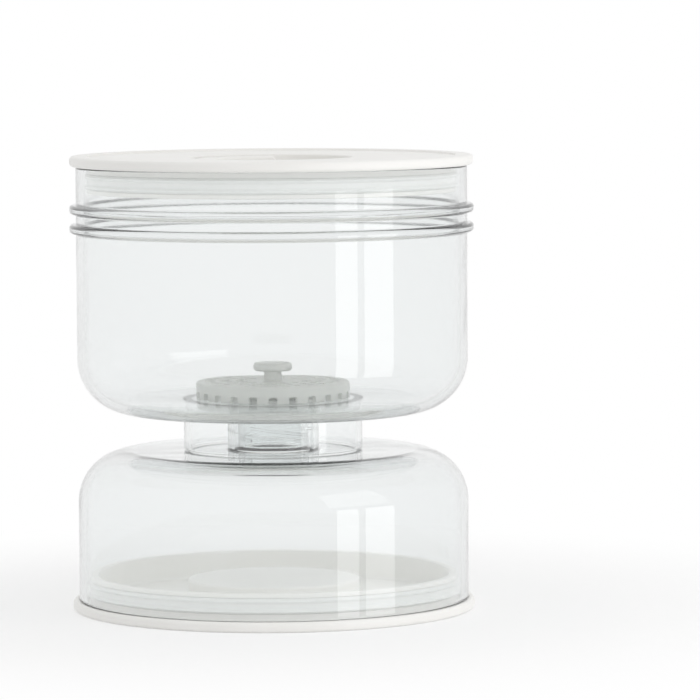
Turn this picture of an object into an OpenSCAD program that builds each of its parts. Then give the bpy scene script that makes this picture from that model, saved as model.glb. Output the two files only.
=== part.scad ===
// Pickle jar with a strainer: two clear jars screwed together neck to neck, a push-in lid in each open
// end and a perforated strainer over the bore between them. Millimetres, +Z up, with the origin at the
// middle of the face that the jar stands on.

/* [Jars] */
// Outer diameter of both jars
jar_d = 111.5; // [95:0.5:130]
// Thickness of the jars' walls and floors
jar_wall = 2.2; // [1.8:0.1:3]
// Height of the upper jar, from its flat underside to its rim
upper_h = 70.3; // [50:0.1:120]
// Height of the lower jar, from its rim to its flat top
lower_h = 42.6; // [34:0.1:80]
// Outer radius of the upper jar's rounded bottom edge
upper_corner_r = 15.5; // [8:0.5:20]
// Outer radius of the lower jar's rounded shoulder
lower_corner_r = 14.5; // [8:0.5:20]
// Chamfer on both edges of each rim
rim_chamfer = 0.5; // [0.2:0.1:0.8]

/* [Grip rings] */
// Number of rings around the upper jar
ring_count = 2; // [1:1:4]
// How far a ring stands out of the jar's wall
ring_proud = 1.85; // [1:0.05:3]
// Height of a ring
ring_h = 2.6; // [2:0.1:4]
// Distance from the rim down to the middle of the top ring
ring_drop = 12.2; // [10:0.1:18]
// Distance from one ring to the next
ring_pitch = 5.5; // [4.5:0.1:8]

/* [Neck] */
// Height of the gap between the two jars
neck_h = 10.8; // [9:0.1:16]
// Outer diameter of the collar around the neck
collar_d = 51; // [40:0.5:64]
// Thickness of the collar
collar_wall = 1.6; // [1.2:0.1:2.4]
// Gap between the collar's end and the lower jar
collar_gap = 0.3; // [0.2:0.1:0.6]
// Diameter of the bore that the brine runs through
bore_d = 16.4; // [12:0.2:18]
// Thickness of the upper jar's threaded spout
spout_wall = 1.8; // [1.4:0.1:2.4]
// Gap between the spout's end and the lower jar's flat top
spout_gap = 1; // [0.6:0.1:1.6]
// Thickness of the lower jar's threaded socket
socket_wall = 1.8; // [1.4:0.1:2.4]
// Thickness of the gasket between the socket and the upper jar
gasket_t = 1.2; // [0.8:0.1:2]

/* [Thread] */
// Number of thread starts
thread_starts = 2; // [1:1:3]
// Rise of the thread in one turn
thread_lead = 7.2; // [6.4:0.2:9]
// Length of each ridge in turns
thread_turns = 0.62; // [0.4:0.02:0.7]
// How far a ridge stands out of its wall
thread_depth = 0.9; // [0.7:0.05:1.2]
// Width of a ridge at its foot
thread_foot = 1.5; // [1.2:0.1:1.6]
// Width of a ridge at its crest
thread_crest = 0.7; // [0.5:0.1:0.9]
// Radial gap between a ridge and the wall that faces it
thread_gap = 0.3; // [0.2:0.05:0.5]

/* [Lids] */
// How far the flange overhangs the jar's wall
flange_overhang = 1.75; // [1:0.05:4]
// Thickness of the flange
flange_t = 2.9; // [2.4:0.1:4]
// Radius of the flange's rounded edge
flange_round = 1.1; // [0.5:0.1:1.15]
// Width of the raised ring that the lid stands on
foot_ring_w = 5; // [3:0.5:10]
// Depth of the flat panel inside that ring
panel_drop = 0.6; // [0.3:0.1:1]
// Depth of the plug below the flange
plug_h = 7.5; // [6.5:0.1:12]
// Thickness of the plug's wall
plug_wall = 2.4; // [2:0.1:3.2]
// Radial gap between the plug and the jar's wall
plug_gap = 1; // [0.6:0.1:1.4]

/* [Lid seals] */
// Height of the groove that holds the seal
seal_h = 4.4; // [3.6:0.1:5]
// Depth of that groove
seal_depth = 1.2; // [0.8:0.1:1.5]
// Distance from the plug's inner end to the groove
seal_end = 1.3; // [1:0.1:1.6]
// Height of a sealing lip at its foot
lip_foot = 1.5; // [1:0.1:1.7]
// Height of a sealing lip at its tip
lip_tip = 0.4; // [0.3:0.1:0.8]
// Radial gap between a lip and the jar's wall
lip_gap = 0.2; // [0.1:0.05:0.4]

/* [Handle recess] */
// Diameter of the round recess in the lid
recess_d = 46; // [38:0.5:52]
// Depth of the recess below the face that the lid stands on
recess_depth = 7; // [6.5:0.1:8]
// Thickness of the recess's wall and floor
recess_wall = 1.6; // [1.2:0.1:2]

/* [Handle] */
// Width of the bail's half ring
bail_w = 5.6; // [4:0.1:8]
// Thickness of the bail
bail_t = 3; // [2.4:0.1:3.6]
// Gap between the bail and the wall of the recess
bail_gap = 1.2; // [0.6:0.1:2]
// How far the folded bail lies below the face that the lid stands on
bail_sink = 1; // [0.8:0.1:1.4]
// Chamfer along the bail's edges
bail_chamfer = 0.6; // [0.3:0.1:0.9]
// Diameter of the bail's pivot pins
pivot_d = 2.4; // [1.8:0.1:2.6]
// Radial clearance of a pivot pin in its hole
pivot_gap = 0.08; // [0.05:0.01:0.1]
// How far a pivot pin reaches past the wall of the recess
pivot_reach = 2.4; // [1.6:0.1:3]
// Plastic around a pivot hole
pivot_boss_wall = 1.5; // [1.2:0.1:2]
// How much thinner than the bail its knuckles are, on the radius
knuckle_relief = 0.05; // [0.03:0.01:0.2]

/* [Strainer] */
// Diameter of the strainer
strainer_d = 44; // [38:0.5:60]
// Height of the strainer's plate above the jar's floor
strainer_h = 6; // [5:0.1:9]
// Thickness of the strainer
strainer_wall = 1.8; // [1.4:0.1:2.4]
// Diameter of a drain hole
hole_d = 2.8; // [2:0.1:3.2]
// Distance from one ring of drain holes to the next, and from hole to hole
hole_pitch = 4.2; // [3.8:0.1:6]
// Plastic between the outer drain holes and the strainer's skirt, and between the inner ones and its legs
hole_margin = 0.4; // [0.2:0.1:1]
// Number of drain slots around the strainer's foot
slot_count = 24; // [12:1:30]
// Width of a drain slot
slot_w = 2.4; // [1.6:0.1:2.8]
// Height of a drain slot
slot_h = 2.6; // [1.6:0.1:3]
// Radial gap between the strainer's legs and the bore
leg_gap = 0.4; // [0.3:0.05:0.6]
// Thickness of a leg
leg_wall = 1.4; // [1.2:0.1:1.8]
// How far the legs reach into the bore
leg_reach = 4; // [3:0.5:8]
// Diameter of the pull knob
knob_d = 11; // [9:0.5:12]
// Height of the knob's stem
knob_stem_h = 3.4; // [3:0.1:5]
// Diameter of the knob's stem
knob_stem_d = 5; // [4:0.2:7]
// Thickness of the knob's head
knob_head_h = 2.4; // [2:0.1:3.4]

/* [Hidden] */
$fn = 96;

clear_plastic = [0.84, 0.9, 0.92, 0.35];
white_plastic = [0.95, 0.95, 0.94];
silicone = [0.9, 0.92, 0.92, 0.8];

// Heights in the assembled jar
lower_rim_z = flange_t;
lower_top_z = lower_rim_z + lower_h;
upper_floor_z = lower_top_z + neck_h;
upper_rim_z = upper_floor_z + upper_h;
total_h = upper_rim_z + flange_t;

// Radii of the jars and the neck
jar_r = jar_d / 2;
jar_inner_r = jar_r - jar_wall;
collar_r = collar_d / 2;
bore_r = bore_d / 2;
spout_r = bore_r + spout_wall;
spout_crest_r = spout_r + thread_depth;
socket_inner_r = spout_crest_r + thread_gap;
socket_crest_r = socket_inner_r - thread_depth;
socket_r = socket_inner_r + socket_wall;
socket_h = neck_h - gasket_t;
gasket_inner_r = spout_r + thread_gap;

// Thread: the ridges of the spout run midway between those of the socket
thread_pitch = thread_lead / thread_starts;
thread_root_sink = 0.5;
thread_rise = thread_lead * thread_turns;
thread_mid_z = lower_top_z + socket_h / 2;
thread_steps = 32;
thread_fade_steps = 3;
thread_end_fade = 0.2;

// Lid
flange_r = jar_r + flange_overhang;
panel_r = flange_r - foot_ring_w;
plug_r = jar_inner_r - plug_gap;
plug_end = flange_t + plug_h;
seal_r = plug_r - seal_depth;
seal_top = plug_end - seal_end;
lip_r = jar_inner_r - lip_gap;
recess_r = recess_d / 2;
recess_shell_r = recess_r + recess_wall;
recess_end = recess_depth + recess_wall;

// Bail and its pivots
bail_r = recess_r - bail_gap;
bail_inner_r = bail_r - bail_w;
bail_mid = bail_sink + bail_t / 2;
knuckle_r = bail_t / 2 - knuckle_relief;
pivot_r = pivot_d / 2;
pivot_end = recess_r + pivot_reach;
pivot_hole_r = pivot_r + pivot_gap;
pivot_hole_end = pivot_end + bail_gap / 2;
boss_w = 2 * (pivot_hole_r + pivot_boss_wall);
boss_root = [recess_r + recess_wall / 2, (panel_drop + flange_t) / 2];
boss_end = [pivot_hole_end + pivot_boss_wall, bail_mid + pivot_hole_r + pivot_boss_wall];
boss_size = boss_end - boss_root;

// Strainer
floor_z = upper_floor_z + jar_wall;
strainer_r = strainer_d / 2;
hole_r = hole_d / 2;
leg_r = bore_r - leg_gap;
leg_count = 3;
leg_angle = 44;
first_hole_ring = leg_r + hole_r + hole_margin;
last_hole_ring = strainer_r - strainer_wall - hole_r - hole_margin;

// Half section of a round can that stands on the X axis, with its lower edge rounded
module can_section(r, h, corner) {
    square([r - corner, h]);
    translate([0, corner])
        square([r, h - corner]);
    translate([r - corner, corner])
        circle(corner);
}

// Diamond that cuts a chamfer from the corner at its middle
module chamfer_cut(x, y, size) {
    translate([x, y])
        rotate(45)
            square(size * sqrt(2), center = true);
}

// Half section of a jar that stands on its rounded end, open at the top
module jar_section(h, corner) {
    difference() {
        can_section(jar_r, h, corner);
        translate([0, jar_wall])
            can_section(jar_inner_r, h, corner - jar_wall);
        chamfer_cut(jar_r, h, rim_chamfer);
        chamfer_cut(jar_inner_r, h, rim_chamfer);
    }
}

// Half section of a tube between two heights
module tube_section(inner_r, outer_r, low, high) {
    translate([inner_r, low])
        square([outer_r - inner_r, high - low]);
}

// Half section of one grip ring, rounded outside
module ring_section(height) {
    round_r = ring_h / 2;
    middle_r = jar_r + ring_proud - round_r;
    tube_section(jar_r - jar_wall / 2, middle_r, height - round_r, height + round_r);
    translate([middle_r, height])
        circle(round_r);
}

// Four corners of a ridge's cross section at one turn angle
function ridge_ring(root_r, crest_r, angle, height) = [
    for (p = [
        [root_r, -thread_foot / 2],
        [crest_r, -thread_crest / 2],
        [crest_r, thread_crest / 2],
        [root_r, thread_foot / 2]
    ])
        [p[0] * cos(angle), p[0] * sin(angle), height + p[1]]
];

// How much of the crest stands at a step: the ridge dives into its wall at both ends
function ridge_fade(step) =
    let (along = min(step, thread_steps - step) / thread_fade_steps)
    min(1, thread_end_fade + (1 - thread_end_fade) * along);

// One helical ridge, about the middle of the thread, from its root inside a wall to its crest
module thread_ridge(root_r, crest_r, start_angle) {
    points = [
        for (step = [0 : thread_steps])
            let (share = step / thread_steps)
            each ridge_ring(
                root_r,
                root_r + (crest_r - root_r) * ridge_fade(step),
                start_angle + 360 * thread_turns * (share - 0.5),
                thread_rise * (share - 0.5)
            )
    ];
    last = 4 * thread_steps;
    sides = [
        for (step = [0 : thread_steps - 1], side = [0 : 3])
            let (a = 4 * step + side, b = 4 * step + (side + 1) % 4)
            each [[a, b + 4, b], [a, a + 4, b + 4]]
    ];
    ends = [[0, 1, 2], [0, 2, 3], [last, last + 2, last + 1], [last, last + 3, last + 2]];
    outward = crest_r > root_r;
    faces = [for (f = concat(sides, ends)) outward ? [f[0], f[2], f[1]] : f];
    polyhedron(points, faces);
}

// All starts of one thread
module thread(root_r, crest_r, first_angle) {
    for (start = [0 : thread_starts - 1])
        thread_ridge(root_r, crest_r, first_angle + 360 * start / thread_starts);
}

module upper_jar() {
    color(clear_plastic) {
        rotate_extrude()
            difference() {
                union() {
                    translate([0, upper_floor_z]) {
                        jar_section(upper_h, upper_corner_r);
                        for (ring = [0 : ring_count - 1])
                            ring_section(upper_h - ring_drop - ring * ring_pitch);
                    }
                    tube_section(collar_r - collar_wall, collar_r, lower_top_z + collar_gap, floor_z);
                    tube_section(bore_r, spout_r, lower_top_z + spout_gap, floor_z);
                }
                translate([0, lower_top_z])
                    square([bore_r, upper_h]);
            }
        translate([0, 0, thread_mid_z])
            thread(spout_r - thread_root_sink, spout_crest_r, 0);
    }
}

module lower_jar() {
    color(clear_plastic) {
        rotate_extrude()
            difference() {
                union() {
                    translate([0, lower_top_z])
                        mirror([0, 1])
                            jar_section(lower_h, lower_corner_r);
                    tube_section(socket_inner_r, socket_r, lower_top_z - jar_wall / 2, lower_top_z + socket_h);
                }
                translate([0, lower_top_z - lower_h / 2])
                    square([socket_inner_r, lower_h]);
            }
        translate([0, 0, thread_mid_z])
            thread(socket_inner_r + thread_root_sink, socket_crest_r, 180 / thread_starts);
    }
}

module neck_gasket() {
    color(silicone)
        rotate_extrude()
            tube_section(gasket_inner_r, socket_r, upper_floor_z - gasket_t, upper_floor_z);
}

// Half section of the lid's flange, with both outer edges rounded
module flange_section() {
    square([flange_r - flange_round, flange_t]);
    tube_section(0, flange_r, flange_round, flange_t - flange_round);
    for (height = [flange_round, flange_t - flange_round])
        translate([flange_r - flange_round, height])
            circle(flange_round);
}

// Lid with its outer face on the XY plane and its plug above it
module lid() {
    difference() {
        union() {
            rotate_extrude()
                difference() {
                    union() {
                        flange_section();
                        tube_section(plug_r - plug_wall, plug_r, flange_t / 2, plug_end);
                        tube_section(0, recess_shell_r, flange_t / 2, recess_end);
                    }
                    tube_section(seal_r, plug_r + plug_gap, seal_top - seal_h, seal_top);
                    tube_section(0, panel_r, -panel_drop, panel_drop);
                    tube_section(0, recess_r, -panel_drop, recess_depth);
                }
            for (side = [0, 180])
                rotate(side)
                    translate([-boss_w / 2, boss_root[0], boss_root[1]])
                        cube([boss_w, boss_size[0], boss_size[1]]);
        }
        for (side = [-1, 1])
            translate([0, side * (recess_r - bail_gap), bail_mid])
                rotate([-90 * side, 0, 0])
                    cylinder(r = pivot_hole_r, h = pivot_hole_end - recess_r + bail_gap);
    }
}

// Seal in the lid's groove: a flat band with a lip at each edge
module lid_seal() {
    low = seal_top - seal_h;
    rotate_extrude() {
        tube_section(seal_r, plug_r, low, seal_top);
        for (middle = [low + lip_foot / 2, seal_top - lip_foot / 2])
            translate([0, middle])
                polygon([
                    [plug_r - seal_depth / 2, -lip_foot / 2],
                    [plug_r, -lip_foot / 2],
                    [lip_r, -lip_tip / 2],
                    [lip_r, lip_tip / 2],
                    [plug_r, lip_foot / 2],
                    [plug_r - seal_depth / 2, lip_foot / 2]
                ]);
    }
}

// Bail folded into the recess on the side of -X, with a knuckle and a pivot pin at each end
module lid_handle() {
    translate([0, 0, bail_mid]) {
        rotate([0, 0, 90])
            rotate_extrude(angle = 180)
                difference() {
                    tube_section(bail_inner_r, bail_r, -bail_t / 2, bail_t / 2);
                    for (edge_r = [bail_inner_r, bail_r], height = [-bail_t / 2, bail_t / 2])
                        chamfer_cut(edge_r, height, bail_chamfer);
                }
        for (side = [-1, 1])
            rotate([-90 * side, 0, 0]) {
                translate([0, 0, bail_inner_r + bail_chamfer])
                    cylinder(r = knuckle_r, h = bail_w - 2 * bail_chamfer);
                translate([0, 0, bail_r - bail_w / 2])
                    cylinder(r = pivot_r, h = pivot_end - bail_r + bail_w / 2);
            }
    }
}

// Puts a piece of the lid on top of the jar, outer face up
module on_top() {
    translate([0, 0, total_h])
        rotate([180, 0, 0])
            children();
}

module bottom_lid() {
    color(white_plastic)
        lid();
}

module bottom_lid_seal() {
    color(silicone)
        lid_seal();
}

module bottom_lid_handle() {
    color(white_plastic)
        lid_handle();
}

module top_lid() {
    color(white_plastic)
        on_top()
            lid();
}

module top_lid_seal() {
    color(silicone)
        on_top()
            lid_seal();
}

module top_lid_handle() {
    color(white_plastic)
        on_top()
            lid_handle();
}

module strainer() {
    knob_base = strainer_h + knob_stem_h;
    color(white_plastic)
        translate([0, 0, floor_z])
            difference() {
                union() {
                    rotate_extrude() {
                        tube_section(strainer_r - strainer_wall, strainer_r, 0, strainer_h);
                        tube_section(0, strainer_r, strainer_h - strainer_wall, strainer_h);
                        tube_section(0, knob_stem_d / 2, strainer_h - strainer_wall / 2, knob_base + knob_head_h / 2);
                        tube_section(0, knob_d / 2, knob_base, knob_base + knob_head_h);
                    }
                    for (leg = [0 : leg_count - 1])
                        rotate(360 * leg / leg_count)
                            rotate_extrude(angle = leg_angle)
                                tube_section(leg_r - leg_wall, leg_r, -leg_reach, strainer_h - strainer_wall / 2);
                }
                for (ring_r = [first_hole_ring : hole_pitch : last_hole_ring])
                    let (holes = floor(2 * PI * ring_r / hole_pitch))
                    for (hole = [0 : holes - 1])
                        rotate(360 * hole / holes)
                            translate([ring_r, 0, 0])
                                cylinder(r = hole_r, h = 2 * strainer_h);
                for (slot = [0 : slot_count - 1])
                    rotate(360 * slot / slot_count)
                        translate([strainer_r - 2 * strainer_wall, -slot_w / 2, -strainer_wall])
                            cube([3 * strainer_wall, slot_w, slot_h + strainer_wall]);
            }
}

bottom_lid();
bottom_lid_seal();
bottom_lid_handle();
lower_jar();
neck_gasket();
upper_jar();
strainer();
top_lid();
top_lid_seal();
top_lid_handle();
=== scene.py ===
# Looks of a pickle jar with a strainer: two clear jars screwed together neck to neck, a white push-in
# lid with a lift bail in each end, their seals, the gasket of the neck and the strainer over its bore.
# Sizes are in millimetres and turn to metres when a mesh is made. +Z is up and -Y is the front.
import math

import bpy
from mathutils import Matrix, Vector


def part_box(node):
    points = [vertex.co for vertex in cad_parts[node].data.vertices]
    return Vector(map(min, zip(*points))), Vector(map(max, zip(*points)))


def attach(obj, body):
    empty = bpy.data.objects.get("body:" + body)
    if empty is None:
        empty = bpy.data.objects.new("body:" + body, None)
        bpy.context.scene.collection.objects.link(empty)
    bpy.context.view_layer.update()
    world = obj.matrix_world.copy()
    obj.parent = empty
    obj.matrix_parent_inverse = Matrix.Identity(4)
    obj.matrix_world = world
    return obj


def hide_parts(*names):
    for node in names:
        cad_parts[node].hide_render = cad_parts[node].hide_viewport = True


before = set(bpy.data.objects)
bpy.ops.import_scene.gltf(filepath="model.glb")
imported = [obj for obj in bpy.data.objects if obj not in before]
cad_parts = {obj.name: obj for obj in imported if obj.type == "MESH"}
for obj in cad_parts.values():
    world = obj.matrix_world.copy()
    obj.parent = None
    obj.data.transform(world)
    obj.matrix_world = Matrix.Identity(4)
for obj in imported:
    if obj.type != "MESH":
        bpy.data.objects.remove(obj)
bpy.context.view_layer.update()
scene = bpy.context.scene

MM = 0.001


def box_mm(node):
    """Lowest and highest corner of a CAD node, in millimetres."""
    low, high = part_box(node)
    return Vector(low) / MM, Vector(high) / MM


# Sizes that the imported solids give
lower_low, lower_high = box_mm("lower_jar")
upper_low, upper_high = box_mm("upper_jar")
gasket_low, gasket_high = box_mm("neck_gasket")
lid_high = box_mm("bottom_lid")[1]
seal_low, seal_high = box_mm("bottom_lid_seal")
bail_low, bail_high = box_mm("bottom_lid_handle")
strainer_low, strainer_high = box_mm("strainer")
total_h = box_mm("top_lid")[1].z

# Hair's breadth that keeps touching faces from lying in one plane
TOUCH = 0.03

# Jars
JAR_WALL = 2.2
UPPER_CORNER = 15.5
LOWER_CORNER = 14.5
RIM_ROUND = 0.6
jar_r = lower_high.x
jar_inner_r = jar_r - JAR_WALL
lower_rim_z = lower_low.z
upper_rim_z = upper_high.z

# Grip rings
RING_COUNT = 2
RING_H = 2.6
RING_DROP = 12.2
RING_PITCH = 5.5
RING_ROUND = 1.0
RING_ROOT = 0.35
ring_r = upper_high.x

# Neck
COLLAR_R = 25.5
COLLAR_WALL = 1.6
COLLAR_GAP = 0.3
BORE_R = 8.2
SPOUT_WALL = 1.8
SPOUT_GAP = 1.0
SOCKET_WALL = 1.8
NECK_ROOT = 0.5
NECK_ROUND = 0.4
GASKET_ROUND = 0.3
lower_top_z = upper_low.z - COLLAR_GAP
upper_floor_z = gasket_high.z
floor_z = upper_floor_z + JAR_WALL
spout_r = BORE_R + SPOUT_WALL
socket_r = gasket_high.x
socket_inner_r = socket_r - SOCKET_WALL
socket_top_z = lower_high.z

# Thread of the neck
THREAD_STARTS = 2
THREAD_LEAD = 7.2
THREAD_TURNS = 0.62
THREAD_DEPTH = 0.9
THREAD_FOOT = 1.5
THREAD_CREST = 0.7
THREAD_SINK = 0.5
THREAD_ROUND = 0.15
THREAD_FADE = 0.1
THREAD_TIP = 0.2
thread_mid_z = (lower_top_z + socket_top_z) / 2

# Lid, measured inwards from the face that it stands on
PLUG_GAP = 1.0
PLUG_WALL = 2.4
FLANGE_ROUND = 1.1
FOOT_RING_W = 5.0
PANEL_DROP = 0.6
SEAL_DEPTH = 1.2
LIP_FOOT = 1.5
LIP_TIP = 0.4
LIP_ROUND = 0.12
RECESS_R = 23.0
RECESS_DEPTH = 7.0
RECESS_WALL = 1.6
RECESS_ROUND = 1.2
MOULD_ROUND = 0.8
EDGE_ROUND = 0.5
CREASE_ROUND = 0.2
flange_r = lid_high.x
flange_t = lower_rim_z
plug_r = jar_inner_r - PLUG_GAP
plug_end = lid_high.z
panel_r = flange_r - FOOT_RING_W
seal_r = plug_r - SEAL_DEPTH
lip_r = seal_high.x
recess_shell_r = RECESS_R + RECESS_WALL
recess_end = RECESS_DEPTH + RECESS_WALL

# Bail and its pivots
BAIL_W = 5.6
BAIL_ROUND = 0.8
KNUCKLE_RELIEF = 0.05
KNUCKLE_INSET = 0.6
PIVOT_R = 1.2
PIVOT_GAP = 0.08
PIVOT_WALL = 1.5
PIVOT_END_GAP = 0.6
BOSS_ROUND = 0.7
bail_r = -bail_low.x
bail_inner_r = bail_r - BAIL_W
bail_t = bail_high.z - bail_low.z
bail_mid = (bail_low.z + bail_high.z) / 2
pivot_end = bail_high.y
pivot_hole_r = PIVOT_R + PIVOT_GAP
pivot_hole_end = pivot_end + PIVOT_END_GAP

# Strainer
STRAINER_H = 6.0
STRAINER_WALL = 1.8
STRAINER_ROUND = 1.2
HOLE_R = 1.4
HOLE_PITCH = 4.2
HOLE_MARGIN = 0.4
HOLE_FLARE = 0.4
SLOT_COUNT = 24
SLOT_W = 2.4
SLOT_H = 2.6
SLOT_ROUND = 0.5
LEG_COUNT = 3
LEG_ANGLE = math.radians(44)
LEG_WALL = 1.4
LEG_GAP = 0.4
KNOB_R = 5.5
KNOB_STEM_R = 2.5
KNOB_HEAD = 2.4
KNOB_ROUND = 0.9
strainer_r = strainer_high.x
plate_z = floor_z + STRAINER_H
plate_low_z = plate_z - STRAINER_WALL
skirt_inner_r = strainer_r - STRAINER_WALL
leg_r = BORE_R - LEG_GAP
first_hole_ring = leg_r + HOLE_R + HOLE_MARGIN
last_hole_ring = skirt_inner_r - HOLE_R - HOLE_MARGIN
hole_rings = 1 + int((last_hole_ring - first_hole_ring) / HOLE_PITCH)

# Smoothness of the meshes
TURN_SEGMENTS = 240
PEG_SEGMENTS = 32
THREAD_SEGMENTS = 96
LEG_SEGMENTS = 24
ARC_STEP = math.radians(8)
ARC_SPAN = 0.8
ARC_LEAST = 3
SUPPORT = 0.25
SHARP = math.radians(32)
FILLET_STEPS = 4
PEG_STEPS = 10
PEG_TIP = 0.75
HOLE_STEPS = 3
HOLE_MOUTH = 1.3

# Floor and light
FLOOR_R = 4000
FLOOR_OPENING = 56.4
FLOOR_SPOKES = 96
FLOOR_NEAR = 70
FLOOR_FAR = 210
FLOOR_LIFT = 0.5
ROOM_SIDES = 0.66
ROOM_TOP = 0.9
LAMP_AWAY = 400
WINDOW_H = 152
WINDOW_MIDDLE = 30
KEY_SIZE = 300
KEY_MIDDLE = 300
LIGHT_BOUNCES = 32

# Lamps: name, degrees to the right of the camera, width, height, middle, watts, mirrored in the gloss
LAMPS = [
    ("near_window", 41.0, 89, WINDOW_H, WINDOW_MIDDLE, 0.087, True),
    ("far_window", 60.9, 132.5, WINDOW_H, WINDOW_MIDDLE, 0.129, True),
    ("soft_key", 52.0, KEY_SIZE, KEY_SIZE, KEY_MIDDLE, 0.3, False),
]

# Camera: where it stands, what it aims at, and its focal length in the photograph's pixels
CAMERA_PLACE = (0, -1360, 177.3)
CAMERA_AIM = (22.1, 0, 73.6)
CAMERA_ROLL = math.radians(-0.34)
FOCAL_PIXELS = 4775
IMAGE_PIXELS = 700
SENSOR = 36


def linear(hex_colour):
    """Linear RGBA of an sRGB hex value."""
    parts = [int(hex_colour[i:i + 2], 16) / 255 for i in (0, 2, 4)]
    return (*(p / 12.92 if p <= 0.04045 else ((p + 0.055) / 1.055) ** 2.4 for p in parts), 1.0)


def add(tree, kind, settings=None, inputs=None):
    """Adds a node with its settings; an input is a value, another node's output, or a list of outputs."""
    made = tree.nodes.new(kind)
    for name, value in (settings or {}).items():
        setattr(made, name, value)
    for key, value in (inputs or {}).items():
        for source in value if isinstance(value, list) else [value]:
            if isinstance(source, bpy.types.NodeSocket):
                tree.links.new(source, made.inputs[key])
            else:
                made.inputs[key].default_value = source
    return made


# Outlines

def rounded(corners, closed):
    """Points of an outline through (radius, height, fillet) corners, with each fillet drawn as an arc."""
    points = []
    for place, (radius, height, fillet) in enumerate(corners):
        corner = Vector((radius, height))
        is_end = not closed and place in (0, len(corners) - 1)
        if is_end or fillet == 0:
            points.append(corner)
            continue
        back = (Vector(corners[place - 1][:2]) - corner).normalized()
        on = (Vector(corners[(place + 1) % len(corners)][:2]) - corner).normalized()
        half = back.angle(on) / 2
        centre = corner + (back + on).normalized() * fillet / math.sin(half)
        spoke = corner + back * fillet / math.tan(half) - centre
        turn = (math.pi - 2 * half) * (1 if back.cross(on) < 0 else -1)
        bend = abs(turn)
        steps = max(ARC_LEAST, math.ceil(bend / ARC_STEP), math.ceil(bend * fillet / ARC_SPAN))
        arc = [centre + Matrix.Rotation(turn * s / steps, 2) @ spoke for s in range(steps + 1)]
        ease = SUPPORT * min(fillet, ARC_SPAN)
        points += [arc[0] + back * ease, *arc, arc[-1] + on * ease]
    return points


def outline_mesh(name, corners, closed):
    """Mesh of an outline's edges, always in one direction: x is the radius and y the height, in metres."""
    points = rounded(corners, closed)
    count = len(points)
    area = sum(points[i - 1].cross(points[i]) for i in range(count))
    if area > 0:
        points.reverse()
    edges = [(i, (i + 1) % count) for i in range(count if closed else count - 1)]
    mesh = bpy.data.meshes.new(name)
    mesh.from_pydata([(p.x * MM, p.y * MM, 0) for p in points], edges, [])
    return mesh


# Geometry Nodes trees

GEOMETRY, SIZE, COUNT = "NodeSocketGeometry", "NodeSocketFloat", "NodeSocketInt"
PATH_R = 10 * MM
WELD = 0.001 * MM
JOIN = {"operation": "UNION", "solver": "MANIFOLD"}
CUT = {"operation": "DIFFERENCE", "solver": "MANIFOLD"}


def start_tree(name, sizes):
    """Starts a tree on an outline, with named inputs for the piece's sizes and its material."""
    tree = bpy.data.node_groups.new(name, "GeometryNodeTree")
    kinds = {"Outline": GEOMETRY, **sizes, "Material": "NodeSocketMaterial"}
    for label, kind in kinds.items():
        tree.interface.new_socket(label, in_out="INPUT", socket_type=kind)
    tree.interface.new_socket("Geometry", in_out="OUTPUT", socket_type=GEOMETRY)
    return tree, tree.nodes.new("NodeGroupInput").outputs


def end_tree(tree, geometry, material):
    """Ends a tree in one real, smooth mesh with its material."""
    real = add(tree, "GeometryNodeRealizeInstances", {}, {"Geometry": geometry})
    smooth = add(tree, "GeometryNodeSetShadeSmooth", {}, {"Geometry": real.outputs[0]})
    dressed = add(
        tree, "GeometryNodeSetMaterial", {}, {"Geometry": smooth.outputs[0], "Material": material}
    )
    add(tree, "NodeGroupOutput", {}, {"Geometry": dressed.outputs[0]})
    return tree


def sweep(tree, outline, path, caps=False):
    """Sweeps an outline, radius and height, along a circle or arc of PATH_R about the axis."""
    profile = add(tree, "GeometryNodeMeshToCurve", {}, {"Mesh": outline})
    placed = add(
        tree,
        "GeometryNodeTransform",
        {},
        {"Geometry": profile.outputs[0], "Translation": (-PATH_R, 0, 0), "Scale": (1, -1, 1)},
    )
    upright = add(tree, "GeometryNodeSetCurveNormal", {"mode": "Z_UP"}, {"Curve": path})
    swept = add(
        tree,
        "GeometryNodeCurveToMesh",
        {},
        {"Curve": upright.outputs[0], "Profile Curve": placed.outputs[0], "Fill Caps": caps},
    )
    return add(
        tree, "GeometryNodeMergeByDistance", {}, {"Geometry": swept.outputs[0], "Distance": WELD}
    ).outputs[0]


def turned(tree, outline):
    """Turns an outline all the way round the axis."""
    circle = add(
        tree,
        "GeometryNodeCurvePrimitiveCircle",
        {},
        {"Resolution": TURN_SEGMENTS, "Radius": PATH_R},
    )
    return sweep(tree, outline, circle.outputs[0])


def around(tree, shape, count):
    """Copies of a shape, evenly spaced around the axis."""
    points = add(tree, "GeometryNodePoints", {}, {"Count": count})
    index = add(tree, "GeometryNodeInputIndex")
    step = add(tree, "ShaderNodeMath", {"operation": "DIVIDE"}, {0: math.tau, 1: count})
    angle = add(
        tree, "ShaderNodeMath", {"operation": "MULTIPLY"}, {0: index.outputs[0], 1: step.outputs[0]}
    )
    turn = add(tree, "ShaderNodeCombineXYZ", {}, {"Z": angle.outputs[0]})
    copies = add(
        tree,
        "GeometryNodeInstanceOnPoints",
        {},
        {"Points": points.outputs[0], "Instance": shape, "Rotation": turn.outputs[0]},
    )
    return add(tree, "GeometryNodeRealizeInstances", {}, {"Geometry": copies.outputs[0]}).outputs[0]


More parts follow.
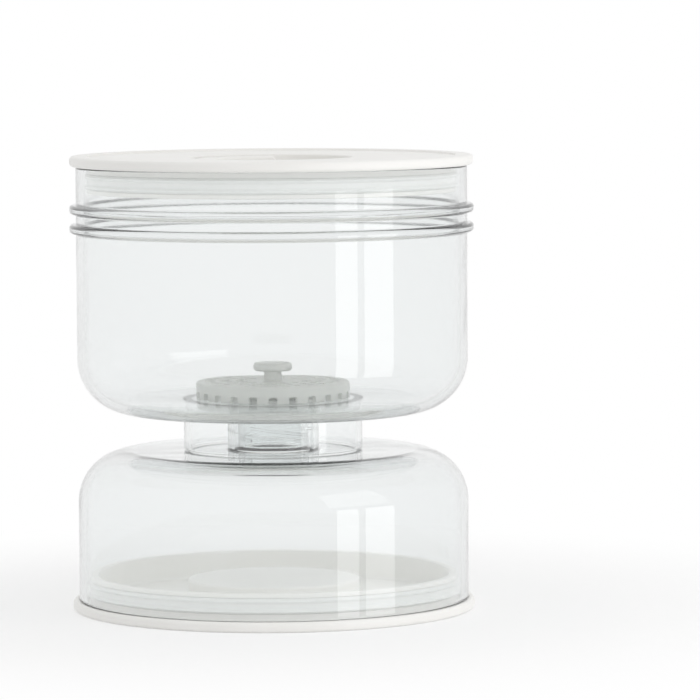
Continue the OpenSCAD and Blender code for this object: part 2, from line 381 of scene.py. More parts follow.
def bar(tree, path, width, height, fillet):
    """Bar along a path, with a rounded rectangle as its section."""
    section = add(
        tree, "GeometryNodeCurvePrimitiveQuadrilateral", {}, {"Width": width, "Height": height}
    )
    eased = add(
        tree,
        "GeometryNodeFilletCurve",
        {"mode": "POLY"},
        {"Curve": section.outputs[0], "Count": FILLET_STEPS, "Radius": fillet},
    )
    upright = add(tree, "GeometryNodeSetCurveNormal", {"mode": "Z_UP"}, {"Curve": path})
    return add(
        tree,
        "GeometryNodeCurveToMesh",
        {},
        {"Curve": upright.outputs[0], "Profile Curve": eased.outputs[0], "Fill Caps": True},
    ).outputs[0]


def straight(tree, start, end):
    """Straight path between two points, each given as a coordinate socket by axis."""
    ends = [add(tree, "ShaderNodeCombineXYZ", {}, point).outputs[0] for point in (start, end)]
    return add(tree, "GeometryNodeCurvePrimitiveLine", {}, {"Start": ends[0], "End": ends[1]}).outputs[0]


def peg(tree, line, radius, tip, steps):
    """Round bar along a line; its first and last steps run out to tip times the radius."""
    path = add(tree, "GeometryNodeResampleCurve", {}, {"Curve": line, "Count": steps + 1})
    along = add(tree, "GeometryNodeSplineParameter")
    inward = add(
        tree, "ShaderNodeMath", {"operation": "PINGPONG"}, {0: along.outputs["Factor"], 1: 0.5}
    )
    scale = add(
        tree,
        "ShaderNodeMapRange",
        {},
        {"Value": inward.outputs[0], "From Max": 1 / steps, "To Min": tip, "To Max": 1.0},
    )
    circle = add(
        tree,
        "GeometryNodeCurvePrimitiveCircle",
        {},
        {"Resolution": PEG_SEGMENTS, "Radius": radius},
    )
    return add(
        tree,
        "GeometryNodeCurveToMesh",
        {},
        {
            "Curve": path.outputs[0],
            "Profile Curve": circle.outputs[0],
            "Scale": scale.outputs[0],
            "Fill Caps": True,
        },
    ).outputs[0]


def ring_tree():
    """A piece that is turned and nothing else."""
    tree, given = start_tree("turned_ring", {})
    return end_tree(tree, turned(tree, given["Outline"]), given["Material"])


def ridge_path(tree, given):
    """Helix that one ridge of a thread follows."""
    spiral = add(
        tree,
        "GeometryNodeCurveSpiral",
        {},
        {
            "Resolution": THREAD_SEGMENTS,
            "Rotations": given["Ridge Turns"],
            "Start Radius": given["Ridge Radius"],
            "End Radius": given["Ridge Radius"],
            "Height": given["Ridge Rise"],
        },
    )
    lift = add(tree, "ShaderNodeCombineXYZ", {}, {"Z": given["Ridge Low"]})
    turn = add(tree, "ShaderNodeCombineXYZ", {}, {"Z": given["First Angle"]})
    path = add(
        tree,
        "GeometryNodeTransform",
        {},
        {"Geometry": spiral.outputs[0], "Translation": lift.outputs[0], "Rotation": turn.outputs[0]},
    )
    return add(
        tree, "GeometryNodeSetCurveNormal", {"mode": "Z_UP"}, {"Curve": path.outputs[0]}
    ).outputs[0]


def ridge_section(tree, given):
    """Rounded trapezium whose crest points outwards where Ridge Side is 1, and inwards where it is -1."""
    section = add(
        tree,
        "GeometryNodeCurvePrimitiveQuadrilateral",
        {"mode": "TRAPEZOID"},
        {
            "Height": given["Ridge Height"],
            "Bottom Width": given["Ridge Foot"],
            "Top Width": given["Ridge Crest"],
            "Offset": 0.0,
        },
    )
    eased = add(
        tree,
        "GeometryNodeFilletCurve",
        {"mode": "POLY"},
        {"Curve": section.outputs[0], "Count": FILLET_STEPS, "Radius": given["Ridge Round"]},
    )
    lean = add(
        tree, "ShaderNodeMath", {"operation": "MULTIPLY"}, {0: given["Ridge Side"], 1: -math.pi / 2}
    )
    lean_turn = add(tree, "ShaderNodeCombineXYZ", {}, {"Z": lean.outputs[0]})
    half = add(tree, "ShaderNodeMath", {"operation": "MULTIPLY"}, {0: given["Ridge Height"], 1: 0.5})
    out = add(
        tree, "ShaderNodeMath", {"operation": "MULTIPLY"}, {0: half.outputs[0], 1: given["Ridge Side"]}
    )
    out_move = add(tree, "ShaderNodeCombineXYZ", {}, {"X": out.outputs[0]})
    return add(
        tree,
        "GeometryNodeTransform",
        {},
        {
            "Geometry": eased.outputs[0],
            "Translation": out_move.outputs[0],
            "Rotation": lean_turn.outputs[0],
        },
    ).outputs[0]


def jar_tree():
    """A turned jar with the helical ridges of its neck joined on, which fade out at their ends."""
    lengths = ["Ridge Radius", "Ridge Height", "Ridge Foot", "Ridge Crest", "Ridge Round"]
    helix = ["Ridge Turns", "Ridge Rise", "Ridge Low", "Ridge Side", "First Angle"]
    kinds = {**dict.fromkeys(lengths + helix, SIZE), "Starts": COUNT}
    tree, given = start_tree("threaded_jar", kinds)
    body = turned(tree, given["Outline"])
    along = add(tree, "GeometryNodeSplineParameter")
    inward = add(
        tree, "ShaderNodeMath", {"operation": "PINGPONG"}, {0: along.outputs["Factor"], 1: 0.5}
    )
    fade = add(
        tree,
        "ShaderNodeMapRange",
        {"interpolation_type": "SMOOTHSTEP"},
        {"Value": inward.outputs[0], "From Max": THREAD_FADE, "To Min": THREAD_TIP, "To Max": 1.0},
    )
    ridge = add(
        tree,
        "GeometryNodeCurveToMesh",
        {},
        {
            "Curve": ridge_path(tree, given),
            "Profile Curve": ridge_section(tree, given),
            "Scale": fade.outputs[0],
            "Fill Caps": True,
        },
    )
    ridges = around(tree, ridge.outputs[0], given["Starts"])
    threaded = add(tree, "GeometryNodeMeshBoolean", JOIN, {"Mesh 2": [body, ridges]})
    return end_tree(tree, threaded.outputs[0], given["Material"])


def lid_tree():
    """A turned lid with a boss on each side of its recess, and the pivot holes that run into them."""
    boss_sizes = ["Boss Width", "Boss Depth", "Boss Middle", "Boss Low", "Boss High", "Boss Round"]
    pivot_sizes = ["Pivot Radius", "Pivot End", "Pivot Height"]
    tree, given = start_tree("lid_with_pivots", dict.fromkeys(boss_sizes + pivot_sizes, SIZE))
    body = turned(tree, given["Outline"])
    rise = straight(
        tree,
        {"Y": given["Boss Middle"], "Z": given["Boss Low"]},
        {"Y": given["Boss Middle"], "Z": given["Boss High"]},
    )
    boss = bar(tree, rise, given["Boss Width"], given["Boss Depth"], given["Boss Round"])
    far = add(tree, "ShaderNodeMath", {"operation": "MULTIPLY"}, {0: given["Pivot End"], 1: -1.0})
    axle = straight(
        tree,
        {"Y": far.outputs[0], "Z": given["Pivot Height"]},
        {"Y": given["Pivot End"], "Z": given["Pivot Height"]},
    )
    holes = peg(tree, axle, given["Pivot Radius"], 1.0, PEG_STEPS)
    bossed = add(tree, "GeometryNodeMeshBoolean", JOIN, {"Mesh 2": [body, around(tree, boss, 2)]})
    bored = add(
        tree, "GeometryNodeMeshBoolean", CUT, {"Mesh 1": bossed.outputs[0], "Mesh 2": holes}
    )
    return end_tree(tree, bored.outputs[0], given["Material"])


def bail_tree():
    """A half ring folded to the side of -X, with a knuckle and a pivot pin at each end."""
    knuckle_sizes = ["Knuckle Radius", "Knuckle Start", "Knuckle End"]
    pin_sizes = ["Pin Radius", "Pin Start", "Pin End", "Height"]
    tree, given = start_tree("lift_bail", dict.fromkeys(knuckle_sizes + pin_sizes, SIZE))
    arc = add(
        tree,
        "GeometryNodeCurveArc",
        {},
        {
            "Resolution": TURN_SEGMENTS // 2 + 1,
            "Radius": PATH_R,
            "Start Angle": math.pi / 2,
            "Sweep Angle": math.pi,
        },
    )
    shapes = [sweep(tree, given["Outline"], arc.outputs[0], True)]
    for part in ("Knuckle", "Pin"):
        line = straight(
            tree,
            {"Y": given[part + " Start"], "Z": given["Height"]},
            {"Y": given[part + " End"], "Z": given["Height"]},
        )
        one = peg(tree, line, given[part + " Radius"], PEG_TIP, PEG_STEPS)
        shapes.append(around(tree, one, 2))
    whole = add(tree, "GeometryNodeMeshBoolean", JOIN, {"Mesh 2": shapes})
    return end_tree(tree, whole.outputs[0], given["Material"])


def strainer_leg(tree, given):
    """Curved leg that stands in the bore."""
    arc = add(
        tree,
        "GeometryNodeCurveArc",
        {},
        {
            "Resolution": LEG_SEGMENTS,
            "Radius": given["Leg Radius"],
            "Start Angle": 0.0,
            "Sweep Angle": given["Leg Angle"],
        },
    )
    lift = add(tree, "ShaderNodeCombineXYZ", {}, {"Z": given["Leg Middle"]})
    path = add(
        tree,
        "GeometryNodeTransform",
        {},
        {"Geometry": arc.outputs[0], "Translation": lift.outputs[0]},
    )
    return bar(tree, path.outputs[0], given["Leg Wall"], given["Leg Height"], given["Leg Round"])


def drain_hole_ring(tree, given, ring):
    """Cutters for one ring of drain holes, as many as fit at their pitch."""
    step = add(
        tree, "ShaderNodeMath", {"operation": "MULTIPLY"}, {0: given["Hole Pitch"], 1: float(ring)}
    )
    reach = add(
        tree, "ShaderNodeMath", {"operation": "ADD"}, {0: given["First Ring"], 1: step.outputs[0]}
    )
    girth = add(tree, "ShaderNodeMath", {"operation": "MULTIPLY"}, {0: reach.outputs[0], 1: math.tau})
    share = add(
        tree, "ShaderNodeMath", {"operation": "DIVIDE"}, {0: girth.outputs[0], 1: given["Hole Pitch"]}
    )
    count = add(tree, "ShaderNodeMath", {"operation": "FLOOR"}, {0: share.outputs[0]})
    line = straight(
        tree,
        {"X": reach.outputs[0], "Z": given["Hole Low"]},
        {"X": reach.outputs[0], "Z": given["Hole High"]},
    )
    hole = peg(tree, line, given["Hole Radius"], HOLE_MOUTH, HOLE_STEPS)
    return around(tree, hole, count.outputs[0])


def strainer_tree():
    """A turned cap with legs, drain holes in rings around its knob and drain slots around its foot."""
    hole_sizes = ["Hole Radius", "Hole Low", "Hole High", "First Ring", "Hole Pitch"]
    slot_sizes = ["Slot Width", "Slot Height", "Slot In", "Slot Out", "Slot Middle", "Slot Round"]
    leg_sizes = ["Leg Radius", "Leg Wall", "Leg Height", "Leg Middle", "Leg Angle", "Leg Round"]
    kinds = {
        **dict.fromkeys(hole_sizes + slot_sizes + leg_sizes, SIZE),
        **dict.fromkeys(["Slot Count", "Leg Count"], COUNT),
    }
    tree, given = start_tree("perforated_cap", kinds)
    body = turned(tree, given["Outline"])
    legs = around(tree, strainer_leg(tree, given), given["Leg Count"])
    legged = add(tree, "GeometryNodeMeshBoolean", JOIN, {"Mesh 2": [body, legs]})
    slot_line = straight(
        tree,
        {"X": given["Slot In"], "Z": given["Slot Middle"]},
        {"X": given["Slot Out"], "Z": given["Slot Middle"]},
    )
    slot = bar(tree, slot_line, given["Slot Width"], given["Slot Height"], given["Slot Round"])
    cutters = [drain_hole_ring(tree, given, ring) for ring in range(hole_rings)]
    cutters.append(around(tree, slot, given["Slot Count"]))
    drained = add(
        tree, "GeometryNodeMeshBoolean", CUT, {"Mesh 1": legged.outputs[0], "Mesh 2": cutters}
    )
    return end_tree(tree, drained.outputs[0], given["Material"])


def metres(sizes):
    """The same sizes in metres."""
    return {name: size * MM for name, size in sizes.items()}


def finished(name, tree, corners, closed, sizes, material, place=Matrix.Identity(4)):
    """Runs a tree on an outline and returns its result as an object with a plain mesh."""
    piece = bpy.data.objects.new(name, outline_mesh(name, corners, closed))
    scene.collection.objects.link(piece)
    modifier = piece.modifiers.new(tree.name, "NODES")
    modifier.node_group = tree
    values = {**sizes, "Material": material}
    for item in tree.interface.items_tree:
        if item.in_out == "INPUT" and item.name in values:
            modifier[item.identifier] = values[item.name]
    depsgraph = bpy.context.evaluated_depsgraph_get()
    mesh = bpy.data.meshes.new_from_object(piece.evaluated_get(depsgraph))
    piece.modifiers.remove(modifier)
    mesh.transform(place)
    mesh.set_sharp_from_angle(angle=SHARP)
    piece.data = mesh
    return piece


# Materials

def per(size):
    """Texture scale at which a pattern repeats about once in a length in millimetres."""
    return 1 / (size * MM)


def start_material(name):
    """Starts a material: returns it with its tree, its shader and the coordinates of the piece."""
    material = bpy.data.materials.new(name)
    material.use_nodes = True
    tree = material.node_tree
    place = add(tree, "ShaderNodeTexCoord").outputs["Object"]
    return material, tree, tree.nodes["Principled BSDF"], place


def clear_styrene():
    """Styrene-acrylonitrile, injection moulded in a polished mould."""
    # Water-clear face on and grey along the edges, where light has a long way through the plastic.
    # The gloss wavers a little with the flow of the melt, and a breath of handling haze dulls it in places.
    # Real haze is finer than 0.1 mm and is drawn coarser, so that it shows.
    haze_size, flow_size, flow_depth = 1.2, 18, 0.04
    polished, dulled = 0.015, 0.06
    material, tree, shader, place = start_material("clear_styrene_acrylonitrile")
    haze = add(
        tree, "ShaderNodeTexNoise", {}, {"Vector": place, "Scale": per(haze_size), "Detail": 3.0}
    )
    gloss = add(
        tree,
        "ShaderNodeMapRange",
        {},
        {"Value": haze.outputs[0], "To Min": polished, "To Max": dulled},
    )
    flow = add(
        tree, "ShaderNodeTexNoise", {}, {"Vector": place, "Scale": per(flow_size), "Detail": 1.0}
    )
    waver = add(
        tree,
        "ShaderNodeBump",
        {},
        {"Height": flow.outputs[0], "Strength": 1.0, "Distance": flow_depth * MM},
    )
    shader.inputs["Base Color"].default_value = linear("FDFEFE")
    shader.inputs["IOR"].default_value = 1.57
    shader.inputs["Transmission Weight"].default_value = 1.0
    tree.links.new(gloss.outputs[0], shader.inputs["Roughness"])
    tree.links.new(waver.outputs[0], shader.inputs["Normal"])
    depth = add(
        tree, "ShaderNodeVolumeAbsorption", {}, {"Color": linear("B9BEBE"), "Density": 46.0}
    )
    tree.links.new(depth.outputs[0], tree.nodes["Material Output"].inputs["Volume"])
    return material


def mottled(name, clouds, gloss, grain, ior, see_through):
    """Moulded surface whose colour, gloss and relief each waver with noise of their own size.

    Each of the three starts with the noise's size in millimetres and its detail. Then clouds gives two
    colours, gloss the least and the most roughness, and grain the relief's strength and depth.
    """
    material, tree, shader, place = start_material(name)
    noise = [
        add(
            tree, "ShaderNodeTexNoise", {}, {"Vector": place, "Scale": per(size), "Detail": detail}
        ).outputs[0]
        for size, detail, *_ in (clouds, gloss, grain)
    ]
    tint = add(
        tree,
        "ShaderNodeMix",
        {"data_type": "RGBA"},
        {"Factor": noise[0], "A": linear(clouds[2]), "B": linear(clouds[3])},
    )
    sheen = add(
        tree, "ShaderNodeMapRange", {}, {"Value": noise[1], "To Min": gloss[2], "To Max": gloss[3]}
    )
    relief = add(
        tree,
        "ShaderNodeBump",
        {},
        {"Height": noise[2], "Strength": grain[2], "Distance": grain[3] * MM},
    )
    tree.links.new(tint.outputs["Result"], shader.inputs["Base Color"])
    tree.links.new(sheen.outputs[0], shader.inputs["Roughness"])
    tree.links.new(relief.outputs[0], shader.inputs["Normal"])
    shader.inputs["IOR"].default_value = ior
    shader.inputs["Transmission Weight"].default_value = see_through
    return material


def white_polypropylene():
    """White pigmented polypropylene, moulded with a fine satin grain."""
    # Soft broad sheen over a faint grain, with slow clouds of warmer and cooler white where it cooled.
    # The real grain is about 0.1 mm and is drawn coarser, so that it shows.
    return mottled(
        "white_polypropylene",
        clouds=(20, 2.0, "F1F0EC", "F7F6F4"),
        gloss=(6, 3.0, 0.36, 0.52),
        grain=(0.6, 2.0, 0.5, 0.02),
        ior=1.49,
        see_through=0.0,
    )


def natural_polypropylene():
    """Unpigmented polypropylene, moulded thin."""
    # Milky and half see-through: light glows in the plate and the rims of its holes.
    # The real grain is about 0.1 mm and is drawn coarser, so that it shows.
    return mottled(
        "natural_polypropylene",
        clouds=(9, 2.0, "E4E6E2", "F0F1EE"),
        gloss=(0.8, 2.0, 0.28, 0.42),
        grain=(0.8, 2.0, 0.4, 0.02),
        ior=1.49,
        see_through=0.45,
    )


def milky_silicone():
    """Cast silicone rubber."""
    # Dull, cloudy and a little see-through, with the fine dust that silicone always holds.
    # Real dust is finer than 0.1 mm and is drawn coarser, so that it shows.
    return mottled(
        "milky_silicone",
        clouds=(0.9, 4.0, "F3F4F2", "FAFAF9"),
        gloss=(0.9, 4.0, 0.4, 0.6),
        grain=(0.9, 4.0, 0.3, 0.02),
        ior=1.41,
        see_through=0.06,
    )


clear = clear_styrene()
white = white_polypropylene()
natural = natural_polypropylene()
silicone = milky_silicone()

# Pieces

threaded_jar = jar_tree()
lid_with_pivots = lid_tree()
turned_ring = ring_tree()
lift_bail = bail_tree()
perforated_cap = strainer_tree()

# The top lid is the bottom one turned over
on_top = Matrix.Translation((0, 0, total_h * MM)) @ Matrix.Rotation(math.pi, 4, "X")

thread_rise = THREAD_LEAD * THREAD_TURNS
ridge = {
    **metres({
        "Ridge Height": THREAD_SINK + THREAD_DEPTH,
        "Ridge Foot": THREAD_FOOT,
        "Ridge Crest": THREAD_CREST,
        "Ridge Round": THREAD_ROUND,
        "Ridge Rise": thread_rise,
        "Ridge Low": thread_mid_z - thread_rise / 2,
    }),
    "Ridge Turns": THREAD_TURNS,
    "Starts": THREAD_STARTS,
}
ridge_start = -math.pi * THREAD_TURNS

grip_rings = []
for ring in range(RING_COUNT):
    middle = upper_rim_z - RING_DROP - ring * RING_PITCH
    top, bottom = middle + RING_H / 2, middle - RING_H / 2
    grip_rings += [
        (jar_r, top, RING_ROOT),
        (ring_r, top, RING_ROUND),
        (ring_r, bottom, RING_ROUND),
        (jar_r, bottom, RING_ROOT),
    ]
upper_jar_outline = [
    (jar_r, upper_rim_z - TOUCH, RIM_ROUND),
    *grip_rings,
    (jar_r, upper_floor_z, UPPER_CORNER),
    (COLLAR_R, upper_floor_z, NECK_ROOT),
    (COLLAR_R, lower_top_z + COLLAR_GAP, NECK_ROUND),
    (COLLAR_R - COLLAR_WALL, lower_top_z + COLLAR_GAP, NECK_ROUND),
    (COLLAR_R - COLLAR_WALL, upper_floor_z, NECK_ROOT),
    (spout_r, upper_floor_z, CREASE_ROUND),
    (spout_r, lower_top_z + SPOUT_GAP, NECK_ROUND),
    (BORE_R, lower_top_z + SPOUT_GAP, NECK_ROUND),
    (BORE_R, floor_z, RIM_ROUND),
    (jar_inner_r, floor_z, UPPER_CORNER - JAR_WALL),
    (jar_inner_r, upper_rim_z - TOUCH, RIM_ROUND),
]
upper_jar_shell = finished(
    "upper_jar_shell", threaded_jar, upper_jar_outline, True,
    {
        **ridge,
        "Ridge Radius": (spout_r - THREAD_SINK) * MM,
        "Ridge Side": 1.0,
        "First Angle": ridge_start,
    },
    clear,
)

lower_jar_outline = [
    (jar_r, lower_rim_z + TOUCH, RIM_ROUND),
    (jar_r, lower_top_z, LOWER_CORNER),
    (socket_r, lower_top_z, NECK_ROOT),
    (socket_r, socket_top_z - TOUCH, NECK_ROUND),
    (socket_inner_r, socket_top_z - TOUCH, NECK_ROUND),
    (socket_inner_r, lower_top_z - JAR_WALL, NECK_ROOT),
    (jar_inner_r, lower_top_z - JAR_WALL, LOWER_CORNER - JAR_WALL),
    (jar_inner_r, lower_rim_z + TOUCH, RIM_ROUND),
]
lower_jar_shell = finished(
    "lower_jar_shell", threaded_jar, lower_jar_outline, True,
    {
        **ridge,
        "Ridge Radius": (socket_inner_r + THREAD_SINK) * MM,
        "Ridge Side": -1.0,
        "First Angle": ridge_start + math.pi / THREAD_STARTS,
    },
    clear,
)

neck_gasket_ring = finished(
    "neck_gasket_ring", turned_ring,
    [
        (socket_r, gasket_low.z + TOUCH, GASKET_ROUND),
        (socket_r, gasket_high.z - TOUCH, GASKET_ROUND),
        (spout_r + COLLAR_GAP, gasket_high.z - TOUCH, GASKET_ROUND),
        (spout_r + COLLAR_GAP, gasket_low.z + TOUCH, GASKET_ROUND),
    ],
    True, {}, silicone,
)

strainer_foot = floor_z + TOUCH
strainer_outline = [
    (0, strainer_high.z, 0),
    (KNOB_R, strainer_high.z, KNOB_ROUND),
    (KNOB_R, strainer_high.z - KNOB_HEAD, KNOB_ROUND),
    (KNOB_STEM_R, strainer_high.z - KNOB_HEAD, EDGE_ROUND),
    (KNOB_STEM_R, plate_z, MOULD_ROUND),
    (strainer_r, plate_z, STRAINER_ROUND),
    (strainer_r, strainer_foot, CREASE_ROUND),
    (skirt_inner_r, strainer_foot, CREASE_ROUND),
    (skirt_inner_r, plate_low_z, MOULD_ROUND),
    (0, plate_low_z, 0),
]
leg_low_z, leg_high_z = strainer_low.z, plate_z - STRAINER_WALL / 2
strainer_cap = finished(
    "strainer_cap", perforated_cap, strainer_outline, False,
    {
        **metres({
            "Hole Radius": HOLE_R,
            "Hole Low": plate_low_z - HOLE_FLARE,
            "Hole High": plate_z + HOLE_FLARE,
            "First Ring": first_hole_ring,
            "Hole Pitch": HOLE_PITCH,
            "Slot Width": SLOT_W,
            "Slot Height": 2 * SLOT_H,
            "Slot In": skirt_inner_r - STRAINER_WALL,
            "Slot Out": strainer_r + STRAINER_WALL,
            "Slot Middle": floor_z,
            "Slot Round": SLOT_ROUND,
            "Leg Radius": leg_r - LEG_WALL / 2,
            "Leg Wall": LEG_WALL,
            "Leg Height": leg_high_z - leg_low_z,
            "Leg Middle": (leg_high_z + leg_low_z) / 2,
            "Leg Round": NECK_ROUND,
        }),
        "Leg Angle": LEG_ANGLE,
        "Slot Count": SLOT_COUNT,
        "Leg Count": LEG_COUNT,
    },
    natural,
)

seal_low_z, seal_high_z = seal_low.z + TOUCH, seal_high.z - TOUCH
lid_outline = [
    (0, RECESS_DEPTH, 0),
    (RECESS_R, RECESS_DEPTH, RECESS_ROUND),
    (RECESS_R, PANEL_DROP, EDGE_ROUND),
    (panel_r, PANEL_DROP, CREASE_ROUND),
    (panel_r, 0, CREASE_ROUND),
    (flange_r, 0, FLANGE_ROUND),
    (flange_r, flange_t, FLANGE_ROUND),
    (plug_r, flange_t, CREASE_ROUND),
    (plug_r, seal_low.z, CREASE_ROUND),
    (seal_r, seal_low.z, CREASE_ROUND),
    (seal_r, seal_high.z, CREASE_ROUND),
    (plug_r, seal_high.z, CREASE_ROUND),
    (plug_r, plug_end, EDGE_ROUND),
    (plug_r - PLUG_WALL, plug_end, EDGE_ROUND),
    (plug_r - PLUG_WALL, flange_t, MOULD_ROUND),
    (recess_shell_r, flange_t, MOULD_ROUND),
    (recess_shell_r, recess_end, MOULD_ROUND),
    (0, recess_end, 0),
]
boss_root = (RECESS_R + RECESS_WALL / 2, (PANEL_DROP + flange_t) / 2)
boss_end = (pivot_hole_end + PIVOT_WALL, bail_mid + pivot_hole_r + PIVOT_WALL)
lid_sizes = metres({
    "Boss Width": 2 * (pivot_hole_r + PIVOT_WALL),
    "Boss Depth": boss_end[0] - boss_root[0],
    "Boss Middle": (boss_root[0] + boss_end[0]) / 2,
    "Boss Low": boss_root[1],
    "Boss High": boss_end[1],
    "Boss Round": BOSS_ROUND,
    "Pivot Radius": pivot_hole_r,
    "Pivot End": pivot_hole_end,
    "Pivot Height": bail_mid,
})

lip_low_z = seal_low_z + (LIP_FOOT - LIP_TIP) / 2
lip_high_z = seal_high_z - (LIP_FOOT - LIP_TIP) / 2
seal_outline = [
    (seal_r + TOUCH, seal_low_z, CREASE_ROUND),
    (plug_r, seal_low_z, CREASE_ROUND),
    (lip_r, lip_low_z, LIP_ROUND),
    (lip_r, lip_low_z + LIP_TIP, LIP_ROUND),
    (plug_r, seal_low_z + LIP_FOOT, CREASE_ROUND),
    (plug_r, seal_high_z - LIP_FOOT, CREASE_ROUND),
    (lip_r, lip_high_z - LIP_TIP, LIP_ROUND),
    (lip_r, lip_high_z, LIP_ROUND),
    (plug_r, seal_high_z, CREASE_ROUND),
    (seal_r + TOUCH, seal_high_z, CREASE_ROUND),
]

bail_outline = [
    (bail_r, bail_low.z, BAIL_ROUND),
    (bail_r, bail_high.z, BAIL_ROUND),
    (bail_inner_r, bail_high.z, BAIL_ROUND),
    (bail_inner_r, bail_low.z, BAIL_ROUND),
]
bail_sizes = metres({
    "Knuckle Radius": bail_t / 2 - KNUCKLE_RELIEF,
    "Knuckle Start": bail_inner_r + KNUCKLE_INSET,
    "Knuckle End": bail_r - KNUCKLE_INSET,
    "Pin Radius": PIVOT_R,
    "Pin Start": bail_r - BAIL_W / 2,
    "Pin End": pivot_end,
    "Height": bail_mid,
})

lids = {}
for end, place in {"bottom": Matrix.Identity(4), "top": on_top}.items():
    lids[end] = [
        finished(end + "_lid_moulding", lid_with_pivots, lid_outline, False, lid_sizes, white, place),
        finished(end + "_lid_seal_ring", turned_ring, seal_outline, True, {}, silicone, place),
        finished(end + "_lid_bail", lift_bail, bail_outline, True, bail_sizes, white, place),
    ]

# What each piece rides on and stands for, and the name of its finish
rides = [
    (upper_jar_shell, "upper_jar", "upper_jar", "jar_plastic"),
    (lower_jar_shell, "lower_jar", "lower_jar", "jar_plastic"),
    (neck_gasket_ring, "neck_gasket", "neck_gasket", "seal_silicone"),
    (strainer_cap, "strainer", "strainer", "strainer_plastic"),
]
for end, (moulding, seal_ring, bail) in lids.items():
    rides += [
        (moulding, end + "_lid", end + "_lid", "lid_plastic"),
        (seal_ring, end + "_lid", end + "_lid_seal", "seal_silicone"),
        (bail, end + "_handle", end + "_lid_handle", "lid_plastic"),
    ]
for piece, body, node, slot in rides:
    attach(piece, body)
    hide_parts(node)


# Floor and studio

def seen_rays(tree):
    """1 on the rays that the eye, gloss or clear plastic sends out, and 0 on those that only bring light."""
    rays = add(tree, "ShaderNodeLightPath").outputs
    straight_or_gloss = add(
        tree,
        "ShaderNodeMath",
        {"operation": "MAXIMUM"},
        {0: rays["Is Camera Ray"], 1: rays["Is Glossy Ray"]},
    )
    return add(
        tree,
        "ShaderNodeMath",
        {"operation": "MAXIMUM"},
        {0: straight_or_gloss.outputs[0], 1: rays["Is Transmission Ray"]},
    ).outputs[0]


def pale_floor():
    """Matt white paper sweep."""
    # Holds the soft shadow of the jar and runs out to the white of the studio without an edge.
    # From below it lets the eye through.
    # Real paper fibre is finer than 0.1 mm and is drawn coarser, so that it shows.
    material, tree, shader, place = start_material("matt_white_paper")
    fibre_size = 4
    fibre = add(
        tree, "ShaderNodeTexNoise", {}, {"Vector": place, "Scale": per(fibre_size), "Detail": 3.0}
    )
    tone = add(
        tree,
        "ShaderNodeMix",
        {"data_type": "RGBA"},
        {"Factor": fibre.outputs[0], "A": linear("F8F8F8"), "B": linear("FBFBFB")},
    )
    tree.links.new(tone.outputs["Result"], shader.inputs["Base Color"])
    shader.inputs["Roughness"].default_value = 1.0
    shader.inputs["Specular IOR Level"].default_value = 0.0
    reach = add(tree, "ShaderNodeVectorMath", {"operation": "LENGTH"}, {0: place})
    far = add(
        tree,
        "ShaderNodeMapRange",
        {"interpolation_type": "SMOOTHSTEP"},
        {
            "Value": reach.outputs["Value"],
            "From Min": FLOOR_NEAR * MM,
            "From Max": FLOOR_FAR * MM,
            "To Min": FLOOR_LIFT,
        },
    )
    share = add(
        tree, "ShaderNodeMath", {"operation": "MULTIPLY"}, {0: far.outputs[0], 1: seen_rays(tree)}
    )
    glow = add(tree, "ShaderNodeEmission", {}, {"Strength": 1.0})
    paper = add(
        tree, "ShaderNodeMixShader", {}, {0: share.outputs[0], 1: shader.outputs[0], 2: glow.outputs[0]}
    )
    side = add(tree, "ShaderNodeNewGeometry")
    open_below = add(tree, "ShaderNodeBsdfTransparent")
    sheet = add(
        tree,
        "ShaderNodeMixShader",
        {},
        {0: side.outputs["Backfacing"], 1: paper.outputs[0], 2: open_below.outputs[0]},
    )
    tree.links.new(sheet.outputs[0], tree.nodes["Material Output"].inputs["Surface"])
    return material


# The floor is open where the lid stands, so that the underside is lit in a look from below
floor_mesh = bpy.data.meshes.new("studio_floor")
spokes = [Matrix.Rotation(math.tau * i / FLOOR_SPOKES, 3, "Z").col[0] for i in range(FLOOR_SPOKES)]
down = Vector((0, 0, -TOUCH))
floor_mesh.from_pydata(
    [(spoke * reach + down) * MM for reach in (FLOOR_OPENING, FLOOR_R) for spoke in spokes],
    [],
    [
        (i, FLOOR_SPOKES + i, FLOOR_SPOKES + (i + 1) % FLOOR_SPOKES, (i + 1) % FLOOR_SPOKES)
        for i in range(FLOOR_SPOKES)
    ],
)
floor_mesh.materials.append(pale_floor())
studio_floor = bpy.data.objects.new("studio_floor", floor_mesh)
scene.collection.objects.link(studio_floor)
# Reflections look past it, so that the windows show down the whole of each wall
studio_floor.visible_glossy = False

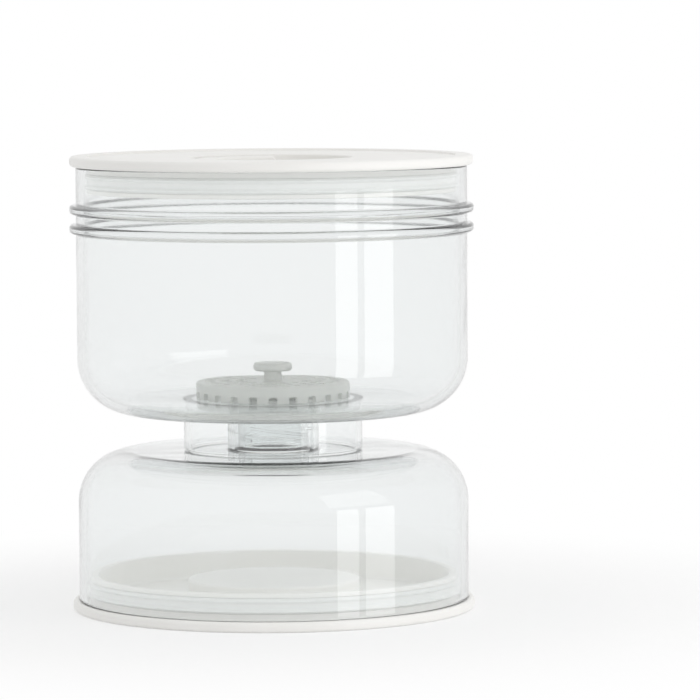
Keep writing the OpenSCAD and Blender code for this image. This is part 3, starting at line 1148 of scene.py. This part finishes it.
# The room is white to the eye, and lights the jar a little more from above than from the sides
world = bpy.data.worlds.new("white_studio")
world.use_nodes = True
scene.world = world
room = world.node_tree
way = add(room, "ShaderNodeTexCoord").outputs["Generated"]
rise = add(room, "ShaderNodeSeparateXYZ", {}, {0: way})
dome = add(
    room,
    "ShaderNodeMapRange",
    {},
    {"Value": rise.outputs["Z"], "To Min": ROOM_SIDES, "To Max": ROOM_TOP},
)
level = add(
    room,
    "ShaderNodeMapRange",
    {},
    {"Value": seen_rays(room), "To Min": dome.outputs[0], "To Max": 1.0},
)
room.nodes["Background"].inputs["Color"].default_value = (1, 1, 1, 1)
room.links.new(level.outputs[0], room.nodes["Background"].inputs["Strength"])

# The gloss mirrors the windows alone, and the soft key lights what stands behind the clear walls.
# Seen through those walls, the windows would wash out the jar's edges in a look from behind.
for name, azimuth, width, height, middle, power, mirrored in LAMPS:
    light = bpy.data.lights.new(name, "AREA")
    light.shape = "RECTANGLE"
    light.size = width * MM
    light.size_y = height * MM
    light.energy = power
    lamp = bpy.data.objects.new(name, light)
    turn = math.radians(azimuth)
    place = Vector((math.sin(turn) * LAMP_AWAY, -math.cos(turn) * LAMP_AWAY, middle)) * MM
    aim = Vector((-place.x, -place.y, 0))
    lamp.matrix_world = Matrix.Translation(place) @ aim.to_track_quat("-Z", "Y").to_matrix().to_4x4()
    lamp.visible_camera = False
    lamp.visible_glossy = mirrored
    lamp.visible_transmission = not mirrored
    scene.collection.objects.link(lamp)

# Camera at the photograph's angle
photo_camera = bpy.data.cameras.new("photo_camera")
photo_camera.sensor_width = SENSOR
photo_camera.lens = SENSOR * FOCAL_PIXELS / IMAGE_PIXELS
camera = bpy.data.objects.new("photo_camera", photo_camera)
eye, aim = Vector(CAMERA_PLACE) * MM, Vector(CAMERA_AIM) * MM
facing = (aim - eye).to_track_quat("-Z", "Y").to_matrix().to_4x4()
camera.matrix_world = Matrix.Translation(eye) @ facing @ Matrix.Rotation(CAMERA_ROLL, 4, "Z")
scene.collection.objects.link(camera)
scene.camera = camera

# Light passes many walls of clear plastic on its way through the neck
scene.cycles.max_bounces = LIGHT_BOUNCES
scene.cycles.transmission_bounces = LIGHT_BOUNCES
scene.cycles.blur_glossy = 0
scene.view_settings.view_transform = "Standard"
